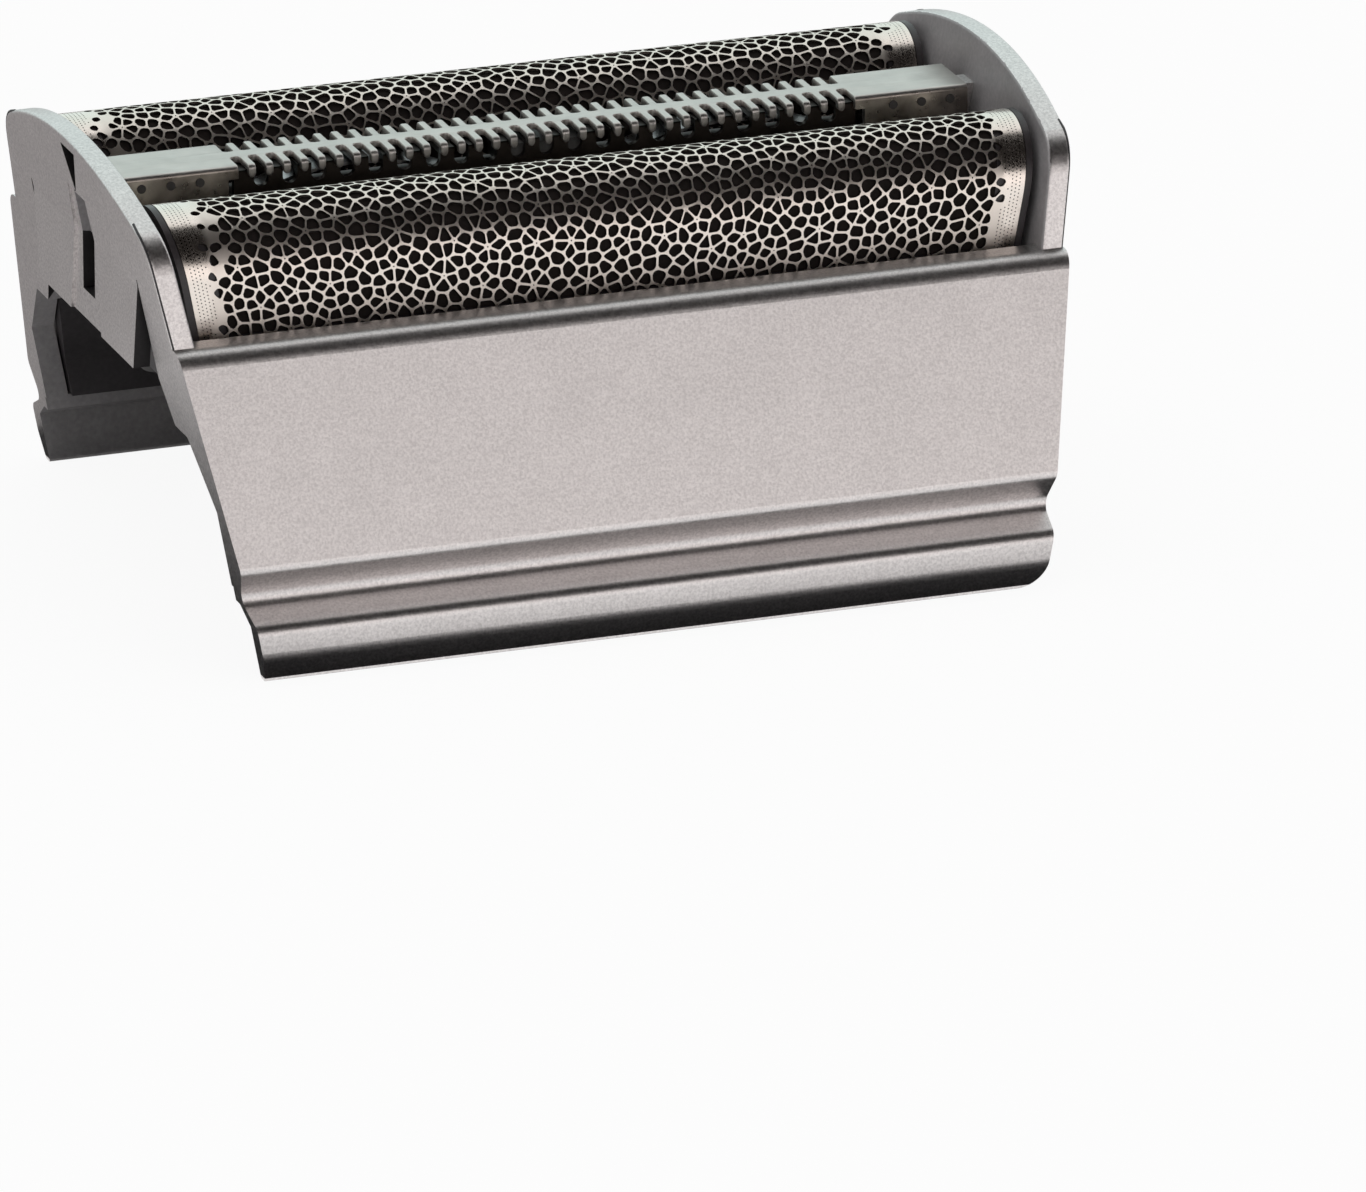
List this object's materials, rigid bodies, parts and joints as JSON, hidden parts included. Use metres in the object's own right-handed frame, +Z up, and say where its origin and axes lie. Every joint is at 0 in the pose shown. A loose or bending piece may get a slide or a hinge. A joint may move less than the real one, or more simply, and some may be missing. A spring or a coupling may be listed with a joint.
{
  "type": "shaver foil head",
  "caption": "Foil head for an electric shaver: a latched grey frame with deep skirts holds floating perforated foils and a sprung toothed trimmer between them.",
  "frame": {"origin": "centre of the footprint, on the surface that the skirts' feet stand on", "axes": "+X along the foils, +Y to the back, +Z up to the foils"},
  "size_m": [0.055, 0.0404, 0.0258],
  "materials": {
    "frame_grey": "satin moulding with fine metal flake",
    "frame_black": "fine moulded texture",
    "carrier_black": "satin",
    "foil_nickel": "bright electroformed nickel",
    "strip_plastic": "satin",
    "comb_steel": "fine ground",
    "blade_steel": "ground",
    "holder_plastic": "satin",
    "driver_plastic": "satin",
    "spring_steel": "drawn wire and strip"
  },
  "bodies": {
    "frame": {"outer_frame": "frame_grey", "inner_frame": "frame_black", "left_lift_spring": "spring_steel", "right_lift_spring": "spring_steel"},
    "front_foil_unit": {"front_foil": "foil_nickel", "front_foil_carrier": "carrier_black", "front_outer_strip": "strip_plastic", "front_inner_strip": "strip_plastic"},
    "back_foil_unit": {"back_foil": "foil_nickel", "back_foil_carrier": "carrier_black", "back_outer_strip": "strip_plastic", "back_inner_strip": "strip_plastic"},
    "trimmer": {"trimmer_comb": "comb_steel", "trimmer_holder": "holder_plastic", "left_blade_spring": "spring_steel", "right_blade_spring": "spring_steel"},
    "blade": {"trimmer_blade": "blade_steel", "trimmer_driver": "driver_plastic"}
  },
  "joints": [
    {"name": "front_foil_float", "type": "slide", "parent": "frame", "child": "front_foil_unit", "axis": [0, 0, 1], "range_m": [-0.0012, 0], "stiffness_N_per_m": 300, "springref_m": 0.0005},
    {"name": "back_foil_float", "type": "slide", "parent": "frame", "child": "back_foil_unit", "axis": [0, 0, 1], "range_m": [-0.0012, 0], "stiffness_N_per_m": 300, "springref_m": 0.0005},
    {"name": "trimmer_float", "type": "slide", "parent": "frame", "child": "trimmer", "axis": [0, 0, 1], "range_m": [-0.0012, 0], "stiffness_N_per_m": 400, "springref_m": 0.0005, "deforming": ["left_lift_spring", "right_lift_spring"]},
    {"name": "blade_stroke", "type": "slide", "parent": "trimmer", "child": "blade", "axis": [1, 0, 0], "range_m": [-0.001, 0.001]}
  ]
}
